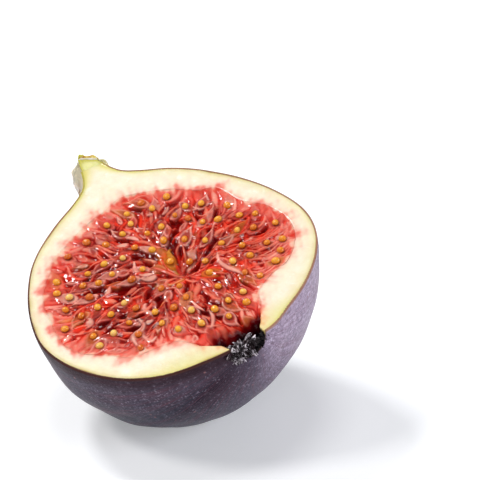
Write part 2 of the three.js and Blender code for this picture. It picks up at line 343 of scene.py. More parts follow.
def skin_material():
    m = Nodes("skin")
    turn, along, cut, rim = m.attributes("turn along cut rim")
    side = m.times(turn, 1 / math.pi)  # 0 at the right of the cut face, 1 at its left
    streaks = m.noise(1, 7, m.combine(m.times(turn, 22), m.times(along, 3), 0), 0.7)
    fine = m.noise(1, 5, m.combine(m.times(turn, 120), m.times(along, 75), 3), 0.75)
    clouds = m.noise(70, 5, roughness=0.65)
    mottled = m.noise(1500, 3, roughness=0.7)
    base = m.ramp(streaks, (0.36, (0.0012, 0.0018, 0.0070)), (0.48, (0.0060, 0.0040, 0.0110)),
                  (0.60, (0.0650, 0.0170, 0.0300)))
    slate = m.times(m.rise(clouds, 0.44, 0.66, 0, 0.8), m.rise(fine, 0.38, 0.62, 0.05, 1))
    base = m.mix(slate, base, (0.032, 0.038, 0.062))
    base = m.mix(m.rise(fine, 0.54, 0.68, 0, 0.55), base, (0.120, 0.080, 0.130))
    # painted reflection of the floor: greyer and bluer underneath
    place_on_floor = m.node("ShaderNodeSeparateXYZ")
    m.link(m.place, place_on_floor.inputs[0])
    low = m.rise(m.times(place_on_floor.outputs["Z"], 50), 0, 0.6, 0.65, 0)
    base = m.mix(m.times(low, m.rise(fine, 0.35, 0.6, 0.3, 1)), base, (0.095, 0.115, 0.150))
    # the bloom with a painted sheen: most of it on the right, where the light falls, and towards the eye, and grains
    # of it
    # painted sheen: the skin lighter on its right side
    right_side = m.ramp(side, (0, 1), (0.22, 0.75), (0.45, 0.20), (0.75, 0.02), (1, 0.22))
    bloom_and_sheen = m.times(right_side, m.rise(along, 0.30, 0.85, 0.1, 1),
                    m.rise(streaks, 0.36, 0.62, 1, 0.60), m.rise(fine, 0.36, 0.62, 0.40, 1),
                    m.rise(mottled, 0.35, 0.60, 0.55, 1))
    base = m.mix(bloom_and_sheen, base, (0.74, 0.57, 0.78))
    # grains of bloom with painted sheen: most of them on the lit right side
    grains_and_sheen = m.times(m.rise(m.noise(2600, 2), 0.56, 0.66, 0, 0.75),
                   m.rise(mottled, 0.45, 0.60, 0.2, 1), m.plus(right_side, 0.25),
                   m.rise(along, 0.45, 0.90, 0, 0.8))
    base = m.mix(grains_and_sheen, base, (0.66, 0.58, 0.74))
    # dark under the rim on the left
    near_rim = m.times(m.ramp(rim, (0, 1), (0.25, 0.9), (0.9, 0)),
                       m.rise(clouds, 0.35, 0.55, 0.6, 1), m.rise(side, 0.35, 0.62, 0, 0.95))
    base = m.mix(near_rim, base, m.mix(streaks, (0.008, 0.003, 0.006), (0.040, 0.013, 0.020)))
    specks = m.times(m.ramp(m.dots(480), (0, 1), (0.09, 1), (0.14, 0)),
                     m.rise(m.noise(260, 0), 0.50, 0.56), 0.5)
    base = m.mix(specks, base, (0.34, 0.15, 0.15))
    # the cut edge: brown, and nearly black on the left from the eye on
    left_of_eye = m.times(m.rise(side, 0.5, 0.6, 0, 0.9), m.rise(along, 0.22, 0.45))
    edge = m.mix(left_of_eye, m.mix(clouds, (0.26, 0.10, 0.055), (0.46, 0.25, 0.13)), (0.045, 0.011, 0.012))
    base = m.mix(m.rise(rim, 0, 0.03, 0.85, 0), base, edge)
    base = m.mix(cut, base, edge)
    # green at the neck, further down on the left
    green = m.ramp(m.minus(along, m.times(turn, 0.026)), (0, 0.9), (0.02, 0.54), (0.05, 0))
    base = m.mix(green, base, m.mix(streaks, (0.30, 0.24, 0.03), (0.62, 0.56, 0.10)))
    m.bump(m.plus(m.times(streaks, 0.2), m.times(mottled, 0.45)), 0.5, 0.0004)
    return m.set(Base_Color=base, Roughness=m.rise(clouds, 0.2, 0.8, 0.30, 0.50), Specular_IOR_Level=0.05,
                 Sheen_Weight=0.01, Sheen_Roughness=0.5, Sheen_Tint=(0.72, 0.70, 0.95))


def edge_tint(m, distance):
    """For a distance out from where the pulp grows out of the rind: its tint, and how far out it counts as,
    0 well inside and 1 well outside, once the border is made uneven."""
    uneven, fibre = m.attributes("uneven fibre")
    fine = m.times(m.minus(m.noise(520, 4, roughness=0.6), 0.5), 1.4)
    reach = m.plus(m.plus(uneven, m.times(fibre, 0.30)), fine)
    share = m.times(m.plus(m.minus(distance, reach), 2), 0.2)
    tint = m.ramp(share, (0, (0.66, 0.070, 0.045)), (0.30, (0.76, 0.17, 0.12)), (0.46, (0.86, 0.42, 0.31)),
                  (0.75, (0.88, 0.66, 0.50)))
    return tint, share


def flesh_material():
    m = Nodes("flesh")
    to_skin, to_pulp, neck, dark = m.attributes("to_skin to_pulp neck dark")
    soft = m.noise(420, 6, roughness=0.65)
    patches = m.noise(110, 3)
    cream = m.mix(patches, (0.85, 0.77, 0.57), (0.88, 0.84, 0.70))
    cream = m.mix(m.rise(soft, 0.38, 0.62, 0.5, 0), cream, (0.77, 0.66, 0.46))
    cream = m.mix(m.rise(m.noise(700, 2), 0.62, 0.72, 0, 0.5), cream, (0.92, 0.90, 0.80))
    warped = m.plus(to_skin, m.times(m.minus(patches, 0.5), 1.2))
    rim = m.ramp(m.times(warped, 0.25), (0, (0.46, 0.32, 0.14)), (0.05, (0.84, 0.76, 0.46)),
                 (0.22, (0.97, 0.95, 0.82)), (0.55, (1, 1, 1)))
    colour = m.mix(1, cream, rim, "MULTIPLY")
    tint, share = edge_tint(m, to_pulp)
    colour = m.mix(m.ramp(share, (0.42, 1), (0.60, 0.55), (1, 0)), colour, tint)
    colour = m.mix(m.times(neck, m.rise(patches, 0.3, 0.7, 0.55, 0.95)), colour, (0.66, 0.59, 0.06))
    # painted shade: the eye's pit near black, and the flesh's outside under the skin
    colour = m.mix(dark, colour, (0.010, 0.004, 0.006))
    m.bump(m.plus(soft, m.times(m.noise(1500, 3), 0.4)), 0.45, 0.0003)
    return m.set(Base_Color=colour, Roughness=0.40, Specular_IOR_Level=0.3, Subsurface_Weight=0.35,
                 Subsurface_Radius=(1, 0.7, 0.4), Subsurface_Scale=0.0012, Coat_Weight=0.25,
                 Coat_Roughness=0.15)


# What the pulp's face keeps of the lobes laid into it, at each of its points.
FLORET_FIELDS = "crest pale amber kind line border fill run"


def pulp_material():
    m = Nodes("pulp")
    crest, pale, amber, kind, line, border, fill, run = m.attributes(FLORET_FIELDS)
    dark, deep, rind, socket, tongue = m.attributes("dark deep rind socket tongue")
    grain = m.noise(900, 4, roughness=0.6)
    broad = m.noise(220, 3)
    away = m.plus(rind, m.times(m.minus(broad, 0.5), 3))
    outer = m.rise(m.times(away, 0.2), 0.15, 0.95, 1, 0)
    bed = m.mix(outer, m.mix(broad, (0.10, 0.001, 0.001), (0.46, 0.004, 0.002)), (0.58, 0.020, 0.012))
    # strands: red, with a paler crest
    patchy = m.rise(m.plus(m.times(broad, 0.6), m.times(grain, 0.4)), 0.42, 0.57)
    strand = m.mix(outer, m.mix(patchy, (0.20, 0.002, 0.004), (0.74, 0.024, 0.008)), (0.74, 0.068, 0.046))
    light = m.mix(outer, (0.80, 0.22, 0.14), (0.90, 0.43, 0.34))
    strand = m.mix(m.times(pale, m.rise(crest, 0.72, 0.99)), strand, light)
    colour = m.mix(m.rise(crest, 0.05, 0.45), bed, strand)
    # florets: dusky, some of them cream towards the seed, in a pale line and with a dark border, which is partly
    # painted shade in the crease at each lobe's edge
    dusky = m.mix(kind, (0.17, 0.003, 0.006), (0.40, 0.065, 0.058))
    dusky = m.mix(m.times(outer, 0.6), dusky, (0.66, 0.095, 0.070))
    dusky = m.mix(m.rise(grain, 0.45, 0.65, 0, 0.5), dusky, (0.50, 0.060, 0.014))
    cream = m.times(m.rise(run, 0.25, 0.70), m.rise(kind, 0.70, 0.92, 0, 0.85),
                    m.rise(tongue, 0, 0.5, 1, 0))
    colour = m.mix(m.times(fill, 0.94), colour, m.mix(cream, dusky, (0.78, 0.44, 0.34)))
    colour = m.mix(m.times(line, m.rise(pale, 0, 0.6, 0.45, 0.9)), colour,
                   m.mix(pale, (0.66, 0.085, 0.060), (0.88, 0.54, 0.45)))
    # the lobes' dark red outline, darkened as painted shade in the crease at each edge
    colour = m.mix(m.times(border, 0.95), colour, m.mix(outer, (0.08, 0.001, 0.003), (0.34, 0.004, 0.008)))
    colour = m.mix(m.times(amber, 0.85), colour, m.mix(grain, (0.46, 0.10, 0.008), (0.72, 0.36, 0.04)))
    # painted shade: the low places of the face darker
    colour = m.mix(m.times(deep, 0.8), colour, m.mix(outer, (0.11, 0.001, 0.001), (0.40, 0.012, 0.009)))
    # painted shadow: a brown-red ring round each seed
    colour = m.mix(m.times(socket, 0.45), colour, (0.34, 0.030, 0.005))
    tint, share = edge_tint(m, m.times(rind, -1.0))
    colour = m.mix(m.ramp(share, (0.04, 0), (0.22, 0.45), (0.42, 1)), colour, tint)
    # painted shade: the tongue turns from crimson to near black where it runs into the eye's pit
    pit = m.ramp(dark, (0.10, (0.26, 0.003, 0.002)), (0.55, (0.05, 0.001, 0.003)),
                 (0.9, (0.003, 0.001, 0.002)))
    colour = m.mix(m.rise(dark, 0, 0.30), colour, pit)
    # the juice over it lies in beads, evens out what is under it, and leaves some places dry
    out = m.math("DIVIDE", m.dots(520), 0.42)
    beads = m.minus(1, m.times(out, out), clamp=True)
    relief = m.vector("SCALE", m.node("ShaderNodeNewGeometry").outputs["Normal"], scale=0.6)
    film = m.vector("NORMALIZE", m.vector("ADD", relief, tuple(TO_ROW @ (0, 0, 1))))
    m.bump(grain, 0.25, 0.0002)
    m.bump(beads, 1, 0.00014, "Coat Normal", film)
    wet = m.times(m.rise(m.noise(800, 2), 0.53, 0.58, 0.04, 1),
                  m.rise(m.times(rind, 0.2), 0.05, 0.16),
                  m.rise(tongue, 0, 0.8, 1, 0.08), m.rise(border, 0, 0.7, 1, 0.2))
    return m.set(Base_Color=colour, Roughness=0.5, Specular_IOR_Level=0.0, Subsurface_Weight=0.4,
                 Subsurface_Radius=(1, 0.12, 0.08), Subsurface_Scale=0.0010, Coat_Roughness=0.06, Coat_IOR=1.5,
                 Coat_Weight=wet)


def seed_material():
    m = Nodes("seed")
    tint, low = m.attributes("tint low")
    colour = m.ramp(tint, (0, (0.66, 0.13, 0.003)), (0.35, (0.82, 0.27, 0.005)), (0.8, (0.90, 0.42, 0.03)),
                    (1, (0.90, 0.58, 0.16)))
    # painted shade: each seed darker towards its underside, where it sits in the pulp
    colour = m.mix(m.rise(low, 0.30, 0.85), colour, (0.34, 0.035, 0.003))
    m.bump(m.noise(1500, 3), 0.12, 0.0001)
    return m.set(Base_Color=colour, Roughness=0.35, Specular_IOR_Level=0.3, Subsurface_Weight=0.2,
                 Subsurface_Radius=(1, 0.4, 0.1), Subsurface_Scale=0.0005, Coat_Weight=0.9, Coat_Roughness=0.05,
                 Coat_IOR=1.4)


def crust_material():
    m = Nodes("eye_scales")
    edge, tint = m.attributes("edge tint")
    grain = m.noise(750, 5, roughness=0.7)
    colour = m.mix(tint, (0.002, 0.002, 0.003), (0.030, 0.010, 0.014))
    dry = m.times(m.rise(edge, 0.45, 0.90), m.rise(grain, 0.44, 0.56),
                  m.rise(tint, 0.45, 0.65))
    colour = m.mix(dry, colour, (0.92, 0.84, 0.90))
    m.bump(grain, 0.6, 0.0003)
    return m.set(Base_Color=colour, Roughness=0.5, Specular_IOR_Level=0.35)


def stalk_material():
    m = Nodes("stalk")
    turn, along, inside, crown, lip = m.attributes("turn along inside crown lip")
    grain = m.noise(1, 5, m.combine(m.times(turn, 14), m.times(along, 0.3), 0))
    spots = m.noise(900, 4, roughness=0.7)
    colour = m.mix(grain, (0.34, 0.33, 0.02), (0.66, 0.58, 0.07))
    flesh = m.mix(spots, (0.60, 0.62, 0.14), (0.88, 0.80, 0.44))
    colour = m.mix(m.rise(inside, 0, 0.8), colour, flesh)
    dried = m.ramp(spots, (0.36, (0.16, 0.030, 0.012)), (0.47, (0.44, 0.24, 0.02)), (0.58, (0.66, 0.48, 0.04)),
                   (0.70, (0.86, 0.80, 0.55)))
    colour = m.mix(m.rise(crown, 0.3, 0.6), colour, dried)
    papery = m.mix(spots, (0.60, 0.50, 0.36), (0.94, 0.92, 0.86))
    colour = m.mix(m.rise(lip, 0.3, 0.7), colour, papery)
    m.bump(m.plus(grain, spots), 0.5, 0.0003)
    return m.set(Base_Color=colour, Roughness=0.5, Subsurface_Weight=0.35, Subsurface_Radius=(1, 0.9, 0.3),
                 Subsurface_Scale=0.0012)


def bract_material():
    m = Nodes("bract")
    turn, along, edge, green = m.attributes("turn along edge green")
    grain = m.noise(1, 5, m.combine(m.times(turn, 30), m.times(along, 0.5), 0), 0.7)
    spots = m.noise(500, 4, roughness=0.7)
    colour = m.ramp(grain, (0.3, (0.80, 0.62, 0.52)), (0.5, (0.94, 0.86, 0.80)), (0.7, (0.97, 0.95, 0.93)))
    dried = m.rise(m.plus(spots, m.times(edge, 0.25)), 0.70, 0.86, 0, 0.8)
    colour = m.mix(dried, colour, (0.42, 0.22, 0.10))
    colour = m.mix(m.times(green, 0.9), colour, m.mix(spots, (0.50, 0.50, 0.08), (0.78, 0.64, 0.14)))
    m.bump(grain, 0.4, 0.0003)
    return m.set(Base_Color=colour, Roughness=0.6, Subsurface_Weight=0.5, Subsurface_Radius=(1, 0.85, 0.7),
                 Subsurface_Scale=0.0020, Transmission_Weight=0.5, IOR=1.1)


# Skin.

def make_skin():
    rows, columns = 230, 180
    mouth = share_of_radius(MOUTH)
    share = np.linspace(0, mouth, rows)[:, None]
    angle = np.linspace(0, math.pi, columns)[None, :]
    lumps, dents = Waves(14), Waves(5)
    flat = body_point(share, angle, 0)
    bumps = (0.07 * lumps(flat) + 0.03 * dents(flat)) * smoothstep(flat[..., 2], 0, 3)
    outer = placed_body(share, angle, 0, bumps)
    # under the flat nothing reaches below the surface
    outer[..., 2] = np.maximum(outer[..., 2], 0)
    inner = placed_body(share, angle, SKIN)
    points = np.concatenate([outer.reshape(-1, 3), inner.reshape(-1, 3)])
    turn = np.broadcast_to(angle, (rows, columns)).ravel()
    along = (flat[..., 0] - OUTLINE_START) / OUTLINE_LENGTH
    build("skin_peel", points, slab(rows, columns), skin_material(), "skin",
          {"turn": np.tile(turn, 2), "along": np.tile(along.ravel(), 2),
           "cut": np.repeat([0, 1], rows * columns), "rim": np.tile(smoothstep(flat[..., 2], 0, 5).ravel(), 2)})


# Flesh.

def polar_radius(points):
    """The radius about the hollow as a function of the direction, for a closed outline of (across, along)."""
    rel = points - HOLLOW
    direction = np.arctan2(rel[:, 0], rel[:, 1])
    order = np.argsort(direction)
    direction, radius = direction[order], np.linalg.norm(rel, axis=1)[order]
    return lambda at: np.interp(at, direction, radius, period=2 * math.pi)


EDGE = catmull(PULP_EDGE, np.linspace(0, 1, 1600, endpoint=False), closed=True)
pulp_radius = polar_radius(EDGE)
# the part of the edge where the pulp grows out of the rind, not the tongue's
RIND_EDGE = EDGE[EDGE[:, 1] < 19.5][::4, ::-1]


def from_rind(xy):
    """The distance of places (along, across) to the rind."""
    nearest = np.full(xy.shape[:-1], 1e9)
    for p in RIND_EDGE:
        nearest = np.minimum(nearest, ((xy - p) ** 2).sum(-1))
    return np.sqrt(nearest)


def around(direction, radius):
    """(along, across) at a direction and distance from the hollow."""
    return HOLLOW[1] + radius * np.cos(direction), HOLLOW[0] + radius * np.sin(direction)


def bowl_under(edge):
    """Rings of the bowl that the pulp fills, from below an edge of its face down to its deepest place."""
    down = np.linspace(0, math.pi / 2 * 0.97, 9)[1:, None]
    return np.stack([PULP_MIDDLE + (edge[:, 0] - PULP_MIDDLE) * np.cos(down), edge[:, 1] * np.cos(down),
                     edge[:, 2] + (PULP_DEPTH - edge[:, 2]) * np.sin(down)], -1)


rooted = Waves(2, 16, 2)


def fibres(direction, along, across):
    """A field that follows the fibres where the pulp grows out of the rind."""
    round_the_edge = np.stack([np.cos(direction), np.sin(direction)], -1) * 22
    return rooted(round_the_edge + 0.10 * np.stack([along, across], -1))


ragged, wavering = Waves(5.5, 10, 2), Waves(2.2, 12, 2)


def uneven_edge(along, across):
    """How far the pulp's red reaches into the flesh, or stays short of it."""
    p = np.stack([along, across], -1)
    return 0.55 * ragged(p) + 0.35 * wavering(p)


def notch(along, across):
    """How deep the passage to the eye is cut into the flesh."""
    places = [12, 17, 20, 22.6, 26]
    radius = np.interp(along, places, [7.4, 7.2, 5.9, 3.6, 3.0])
    middle = np.interp(along, places, [1.3, 1.3, 1.6, 2.3, 3.2])
    return np.sqrt(np.clip(radius ** 2 - (across - middle) ** 2, 0, None)) * smoothstep(along, 14, 18)


def neck_green(along, to_skin):
    """Where the neck's flesh is green: a band by the skin, and all of it at the stalk."""
    wide = 0.7 + 0.9 * smoothstep(-along, 26, 32)
    band = np.exp(-(to_skin / wide) ** 2) * smoothstep(-along, 21, 28)
    return np.clip(band + 0.45 * smoothstep(-along, 29.5, 33) + 0.55 * smoothstep(along, 18, 22.5), 0, 1)


def make_flesh():
    mouth = share_of_radius(MOUTH)
    steps, rings, turns = 360, 30, 40
    inset = SKIN - 0.08
    share = np.linspace(0, mouth, steps)
    half_turn = np.linspace(0, math.pi, turns)
    # the rim: down the left side, round the mouth of the eye, up the right side and over the neck's top
    across_neck = np.linspace(0, 1, 14)[1:-1, None]
    left, right_side = (body_point(share, np.full(steps, angle), inset) for angle in (math.pi, 0))
    rim = np.concatenate([left, body_point(mouth, half_turn[::-1][1:-1], inset), right_side[::-1],
                          right_side[0] + (left[0] - right_side[0]) * across_neck])
    along, across = rim[:, 0], rim[:, 1]
    direction = np.arctan2(across - HOLLOW[0], along - HOLLOW[1])
    distance = np.hypot(across - HOLLOW[0], along - HOLLOW[1])
    near = np.minimum(pulp_radius(direction) - 0.25, distance - 0.3)
    # the cut face, from the pulp's edge out
    t = np.linspace(0, 1, rings)[:, None] ** 0.9
    radius = near + (distance - near) * t
    a, c = around(direction, radius)
    hills = Waves(6, dims=2)(np.stack([a, c], -1))
    fading = smoothstep(distance - radius, 0, 0.8)
    rounding = 0.12 * np.exp(-((radius - near) / 0.3) ** 2)
    depth = (0.04 + 0.05 * hills) * fading + rounding + notch(a, c)
    depth[-1] = rim[:, 2]
    top = np.stack([a, c, depth], -1)
    to_skin = distance - radius
    in_neck = smoothstep(-a, 26, 28)
    to_skin = to_skin + (np.clip(neck_radius(a) - np.abs(c - neck_lean(a)), 0, 5) - to_skin) * in_neck
    inner = bowl_under(top[0])
    wall = np.concatenate([inner[::-1], top])
    points = place(wall.reshape(-1, 3))
    # the underside settles as the skin over it does
    lifted = settling(place(rim)[:, 2])
    points[-len(rim):, 2] += lifted
    count = len(rim)
    outside = placed_body(share[:, None], half_turn[None, :], inset)
    start = len(points)
    faces = [strip(len(wall), count, closed=True), strip(steps, turns, start)]
    points = np.concatenate([points, outside.reshape(-1, 3)])
    lower, outer = inner.shape[:2], (steps, turns)
    # painted shade in the eye's pit, darker the deeper the notch; the flesh's outside under the skin is painted so
    # too
    dark = smoothstep(a, 20.5, 22.5) * smoothstep(notch(a, c), 0.1, 0.6)
    parts = {
        "to_skin": (np.full(lower, 5), to_skin, np.zeros(outer)),
        "to_pulp": (np.zeros(lower), radius - pulp_radius(direction), np.full(outer, 5)),
        "neck": (np.zeros(lower), neck_green(a, to_skin), np.zeros(outer)),
        "dark": (np.zeros(lower), dark, np.ones(outer)),
        "fibre": (np.zeros(lower), fibres(direction, a, c), np.zeros(outer)),
        "uneven": (np.zeros(lower), uneven_edge(a, c), np.zeros(outer)),
    }
    attributes = {key: np.concatenate([part.ravel() for part in three]) for key, three in parts.items()}
    close_holes(build("flesh_rind", points, faces, flesh_material(), "flesh", attributes))


def close_holes(obj):
    work = bmesh.new()
    work.from_mesh(obj.data)
    open_edges = [e for e in work.edges if e.is_boundary]
    if open_edges:
        bmesh.ops.holes_fill(work, edges=open_edges, sides=0)
        bmesh.ops.recalc_face_normals(work, faces=work.faces)
    work.to_mesh(obj.data)
    work.free()


# Pulp.

class Face:
    """The pulp's face as a height field on a disc of even squares, into which lobes are laid."""

    def __init__(self, squares):
        side = np.linspace(-1, 1, squares + 1)
        x, y = np.meshgrid(side, side, indexing="ij")
        # the square's rings become the disc's rings
        wide = np.abs(x) > np.abs(y)
        out = np.where(wide, x, y)
        with np.errstate(divide="ignore", invalid="ignore"):
            turn = np.where(wide, math.pi / 4 * y / x, math.pi / 2 - math.pi / 4 * x / y)
        turn = np.nan_to_num(turn)
        self.direction = np.where(out < 0, turn + math.pi, turn) % (2 * math.pi)
        self.out = np.abs(out)
        self.radius = self.out * pulp_radius(self.direction)
        self.along, self.across = around(self.direction, self.radius)
        self.xy = np.stack([self.along, self.across], -1)
        shape = self.along.shape
        for key in FLORET_FIELDS.split():
            setattr(self, key, np.zeros(shape))

    def rim(self):
        """The indices of the disc's edge, in order."""
        n = self.along.shape[0]
        grid = np.arange(n * n).reshape(n, n)
        return np.concatenate([grid[:-1, 0], grid[-1, :-1], grid[:0:-1, -1], grid[0, :0:-1]])

    def lay(self, path, width, height, level, pale, amber=0.0, capsule=0.0, kind=0.0):
        """A lobe along a path of (along, across): width and level are given at each point of the path.
        A capsule has a thin raised wall round a lower filling."""
        path, width, level = np.asarray(path), np.asarray(width), np.asarray(level)
        reach = width.max()
        low, high = path.min(0) - reach, path.max(0) + reach
        near = np.nonzero(((self.xy > low) & (self.xy < high)).all(-1))
        if not len(near[0]):
            return
        p = self.xy[near]
        best, where, room = np.full(len(p), 1e9), np.zeros(len(p)), np.zeros(len(p))
        for k in range(len(path) - 1):
            d = path[k + 1] - path[k]
            t = np.clip(((p - path[k]) @ d) / (d @ d), 0, 1)
            wide = np.maximum(width[k] + (width[k + 1] - width[k]) * t, 1e-3)
            distance = np.linalg.norm(p - path[k] - t[:, None] * d, axis=1) / wide
            closer = distance < best
            best[closer], where[closer], room[closer] = distance[closer], (k + t)[closer], wide[closer]
        side = np.clip(best, 0, 1)
        dome = np.sqrt(1 - side ** 2)
        inset = (1 - side) * room
        walled = np.exp(-((inset - 0.30) / 0.12) ** 2)
        bowl = dome * (1 - capsule) + capsule * (0.74 * dome + 0.22 * walled)
        rise = np.interp(where, np.arange(len(path)), level) + height * bowl
        inside = (best < 1) & (rise > self.height[near])
        at = tuple(n[inside] for n in near)
        self.height[at] = rise[inside]
        self.crest[at] = dome[inside]
        self.line[at] = capsule * walled[inside]
        # the border at each lobe's edge: its outline, partly painted shade in the crease
        self.border[at] = (0.45 + 0.55 * capsule) * np.exp(-(inset[inside] / 0.17) ** 2)
        self.fill[at] = min(1, 1.6 * capsule) * smoothstep(inset[inside], 0.25, 0.55)
        self.run[at] = where[inside] / (len(path) - 1)
        self.pale[at], self.amber[at], self.kind[at] = pale, amber, kind


def inwards(p):
    """The heading to the hollow from places of (along, across)."""
    p = np.asarray(p)
    return np.arctan2(HOLLOW[0] - p[..., 1], HOLLOW[1] - p[..., 0])


sway, ripple = Waves(13, 7, 2), Waves(4.5, 9, 2)


def flow(p):
    """The heading in which the strands run: inwards, swayed to either side."""
    away = np.linalg.norm(np.asarray(p) - HOLLOW[::-1], axis=-1)
    return inwards(p) + (0.55 * sway(p) + 0.25 * ripple(p)) * smoothstep(away, 2, 9)


def path_along(start, length, turned=0.0, points=10):
    """A path from a place, following the flow."""
    path = [np.asarray(start, float)]
    step = length / (points - 1)
    for k in range(points - 1):
        heading = flow(path[-1]) + turned * (1 - 1.3 * k / points)
        path.append(path[-1] + step * np.array([math.cos(heading), math.sin(heading)]))
    return np.array(path)


def scattered(count, spacing, margin, low=0.0, taken=()):
    """Places of (along, across) on the pulp's face, kept apart."""
    places = list(taken)
    first = len(places)
    for _ in range(TRIES):
        if len(places) - first >= count:
            break
        direction = rng.uniform(0, 2 * math.pi)
        radius = pulp_radius(direction) - margin
        out = low + (1 - low) * math.sqrt(rng.uniform())
        p = np.array(around(direction, radius * out))
        if all(np.hypot(*(p - q)) > spacing for q in places):
            places.append(p)
    return places[first:]


def sunk(along, across):
    """How far the middle of the face and its tongue to the eye lie under the rest."""
    away = ((along - HOLLOW[1]) / 2.2) ** 2 + ((across - HOLLOW[0]) / 4.4) ** 2
    in_tongue = smoothstep(along, 18.5, 23.5) * smoothstep(-np.abs(across - EYE_ACROSS), -7, -2.5)
    return 2.0 * np.exp(-away) + 3.0 * in_tongue


def floret_path(p, heading, length, t):
    """A bowed path through a floret's seed, most of it behind the seed."""
    before_seed = 0.74
    back_way = heading + math.pi + rng.normal(0, 0.25)
    start = p + before_seed * length * np.array([math.cos(back_way), math.sin(back_way)])
    end = p + (1 - before_seed) * length * np.array([math.cos(heading), math.sin(heading)])
    bow = rng.normal(0, 0.12) * length * np.array([-math.sin(heading), math.cos(heading)])
    path = start + (end - start) * t[:, None] + bow * arch(t)[:, None]
    return path + p - (start + (end - start) * before_seed + bow * arch(before_seed))


